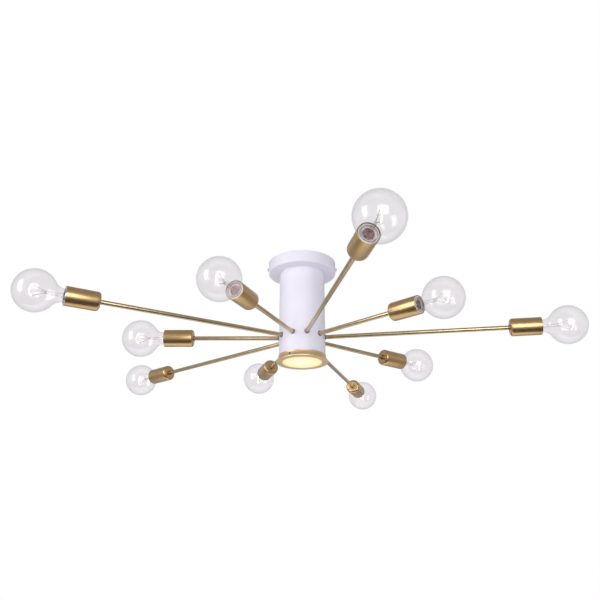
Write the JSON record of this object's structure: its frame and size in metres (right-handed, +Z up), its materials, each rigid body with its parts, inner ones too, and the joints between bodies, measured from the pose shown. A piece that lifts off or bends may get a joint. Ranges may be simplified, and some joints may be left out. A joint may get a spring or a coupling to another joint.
{
  "type": "multi arm chandelier",
  "caption": "Ceiling chandelier: round white canopy and hub tube, long and short brass arms spread level around it with clear globe bulbs at their ends, and a lit diffuser below.",
  "frame": {"origin": "middle of the mounting bracket's two slots, in the plane of the ceiling", "axes": "+Z up into the ceiling, along the hub's axis; -Y towards the front view; the canopy's side screws lie on X"},
  "size_m": [1.1019, 1.1406, 0.2305],
  "materials": {
    "white_paint": "satin white powder coat",
    "satin_brass": "brushed, satin lacquered",
    "bronzed_collar": "darkened",
    "clear_glass": "clear",
    "nickel_shell": "nickel plated",
    "solder": "dull solder",
    "white_holder": "unglazed white",
    "contact_brass": "plain",
    "zinc_plated_steel": "zinc plated",
    "nickel_screw": "nickel plated",
    "green_screw": "green",
    "black_screw": "black oxide",
    "opal_diffuser": "opal, lit from inside",
    "aluminium_tray": "plain",
    "lamp_board": "white solder mask",
    "wire_jacket": "plain"
  },
  "bodies": {
    "fixture": {"mounting_bracket": "zinc_plated_steel", "ground_screw": "green_screw", "canopy": "white_paint", "canopy_screws": "nickel_screw", "nipple": "zinc_plated_steel", "nipple_nuts": "zinc_plated_steel", "hub_tube": "white_paint", "hub_top_plate": "white_paint", "trim_ring": "satin_brass", "trim_screws": "black_screw", "diffuser": "opal_diffuser", "led_tray": "aluminium_tray", "led_board": "lamp_board", "arm_collars": "bronzed_collar", "lock_nuts": "zinc_plated_steel", "socket_cups": "satin_brass", "lampholders": "white_holder", "screw_shells": "nickel_shell", "socket_contacts": "contact_brass", "wiring": "wire_jacket", "arm_01": "satin_brass", "arm_02": "satin_brass", "arm_03": "satin_brass", "arm_04": "satin_brass", "arm_05": "satin_brass", "arm_06": "satin_brass", "arm_07": "satin_brass", "arm_08": "satin_brass", "arm_09": "satin_brass", "arm_10": "satin_brass"},
    "tip_01": {"bulb_contact_01": "solder"},
    "bulb_01": {"bulb_glass_01": "clear_glass", "bulb_cap_01": "nickel_shell"},
    "tip_02": {"bulb_contact_02": "solder"},
    "bulb_02": {"bulb_glass_02": "clear_glass", "bulb_cap_02": "nickel_shell"},
    "tip_03": {"bulb_contact_03": "solder"},
    "bulb_03": {"bulb_glass_03": "clear_glass", "bulb_cap_03": "nickel_shell"},
    "tip_04": {"bulb_contact_04": "solder"},
    "bulb_04": {"bulb_glass_04": "clear_glass", "bulb_cap_04": "nickel_shell"},
    "tip_05": {"bulb_contact_05": "solder"},
    "bulb_05": {"bulb_glass_05": "clear_glass", "bulb_cap_05": "nickel_shell"},
    "tip_06": {"bulb_contact_06": "solder"},
    "bulb_06": {"bulb_glass_06": "clear_glass", "bulb_cap_06": "nickel_shell"},
    "tip_07": {"bulb_contact_07": "solder"},
    "bulb_07": {"bulb_glass_07": "clear_glass", "bulb_cap_07": "nickel_shell"},
    "tip_08": {"bulb_contact_08": "solder"},
    "bulb_08": {"bulb_glass_08": "clear_glass", "bulb_cap_08": "nickel_shell"},
    "tip_09": {"bulb_contact_09": "solder"},
    "bulb_09": {"bulb_glass_09": "clear_glass", "bulb_cap_09": "nickel_shell"},
    "tip_10": {"bulb_contact_10": "solder"},
    "bulb_10": {"bulb_glass_10": "clear_glass", "bulb_cap_10": "nickel_shell"}
  },
  "joints": [
    {"name": "bulb_01_out", "type": "slide", "parent": "fixture", "child": "tip_01", "axis": [0.9877, -0.1564, 0], "range_m": [0, 0.02732]},
    {"name": "bulb_01_turn", "type": "hinge", "parent": "tip_01", "child": "bulb_01", "pos_m": [0.46619, -0.07384, -0.176], "axis": [0.9877, -0.1564, 0], "range_deg": [0, 2700]},
    {"name": "bulb_02_out", "type": "slide", "parent": "fixture", "child": "tip_02", "axis": [0.8039, 0.5948, 0], "range_m": [0, 0.02732]},
    {"name": "bulb_02_turn", "type": "hinge", "parent": "tip_02", "child": "bulb_02", "pos_m": [0.21865, 0.16179, -0.176], "axis": [0.8039, 0.5948, 0], "range_deg": [0, 2700]},
    {"name": "bulb_03_out", "type": "slide", "parent": "fixture", "child": "tip_03", "axis": [0.3173, 0.9483, 0], "range_m": [0, 0.02732]},
    {"name": "bulb_03_turn", "type": "hinge", "parent": "tip_03", "child": "bulb_03", "pos_m": [0.14977, 0.44761, -0.176], "axis": [0.3173, 0.9483, 0], "range_deg": [0, 2700]},
    {"name": "bulb_04_out", "type": "slide", "parent": "fixture", "child": "tip_04", "axis": [-0.3256, 0.9455, 0], "range_m": [0, 0.02732]},
    {"name": "bulb_04_turn", "type": "hinge", "parent": "tip_04", "child": "bulb_04", "pos_m": [-0.08855, 0.25718, -0.176], "axis": [-0.3256, 0.9455, 0], "range_deg": [0, 2700]},
    {"name": "bulb_05_out", "type": "slide", "parent": "fixture", "child": "tip_05", "axis": [-0.7771, 0.6293, 0], "range_m": [0, 0.02732]},
    {"name": "bulb_05_turn", "type": "hinge", "parent": "tip_05", "child": "bulb_05", "pos_m": [-0.36681, 0.29704, -0.176], "axis": [-0.7771, 0.6293, 0], "range_deg": [0, 2700]},
    {"name": "bulb_06_out", "type": "slide", "parent": "fixture", "child": "tip_06", "axis": [-1, 0, 0], "range_m": [0, 0.02732]},
    {"name": "bulb_06_turn", "type": "hinge", "parent": "tip_06", "child": "bulb_06", "pos_m": [-0.272, 0, -0.176], "axis": [-1, 0, 0], "range_deg": [0, 2700]},
    {"name": "bulb_07_out", "type": "slide", "parent": "fixture", "child": "tip_07", "axis": [-0.8704, -0.4924, 0], "range_m": [0, 0.02732]},
    {"name": "bulb_07_turn", "type": "hinge", "parent": "tip_07", "child": "bulb_07", "pos_m": [-0.41081, -0.23242, -0.176], "axis": [-0.8704, -0.4924, 0], "range_deg": [0, 2700]},
    {"name": "bulb_08_out", "type": "slide", "parent": "fixture", "child": "tip_08", "axis": [-0.4067, -0.9135, 0], "range_m": [0, 0.02732]},
    {"name": "bulb_08_turn", "type": "hinge", "parent": "tip_08", "child": "bulb_08", "pos_m": [-0.11063, -0.24848, -0.176], "axis": [-0.4067, -0.9135, 0], "range_deg": [0, 2700]},
    {"name": "bulb_09_out", "type": "slide", "parent": "fixture", "child": "tip_09", "axis": [0.1994, -0.9799, 0], "range_m": [0, 0.02732]},
    {"name": "bulb_09_turn", "type": "hinge", "parent": "tip_09", "child": "bulb_09", "pos_m": [0.0941, -0.46252, -0.176], "axis": [0.1994, -0.9799, 0], "range_deg": [0, 2700]},
    {"name": "bulb_10_out", "type": "slide", "parent": "fixture", "child": "tip_10", "axis": [0.7431, -0.6691, 0], "range_m": [0, 0.02732]},
    {"name": "bulb_10_turn", "type": "hinge", "parent": "tip_10", "child": "bulb_10", "pos_m": [0.20214, -0.182, -0.176], "axis": [0.7431, -0.6691, 0], "range_deg": [0, 2700]}
  ],
  "couplings": [
    {"joint": "bulb_01_out", "follows": "bulb_01_turn", "m_per_rad": 0.00057757},
    {"joint": "bulb_02_out", "follows": "bulb_02_turn", "m_per_rad": 0.00057757},
    {"joint": "bulb_03_out", "follows": "bulb_03_turn", "m_per_rad": 0.00057757},
    {"joint": "bulb_04_out", "follows": "bulb_04_turn", "m_per_rad": 0.00057757},
    {"joint": "bulb_05_out", "follows": "bulb_05_turn", "m_per_rad": 0.00057757},
    {"joint": "bulb_06_out", "follows": "bulb_06_turn", "m_per_rad": 0.00057757},
    {"joint": "bulb_07_out", "follows": "bulb_07_turn", "m_per_rad": 0.00057757},
    {"joint": "bulb_08_out", "follows": "bulb_08_turn", "m_per_rad": 0.00057757},
    {"joint": "bulb_09_out", "follows": "bulb_09_turn", "m_per_rad": 0.00057757},
    {"joint": "bulb_10_out", "follows": "bulb_10_turn", "m_per_rad": 0.00057757}
  ]
}
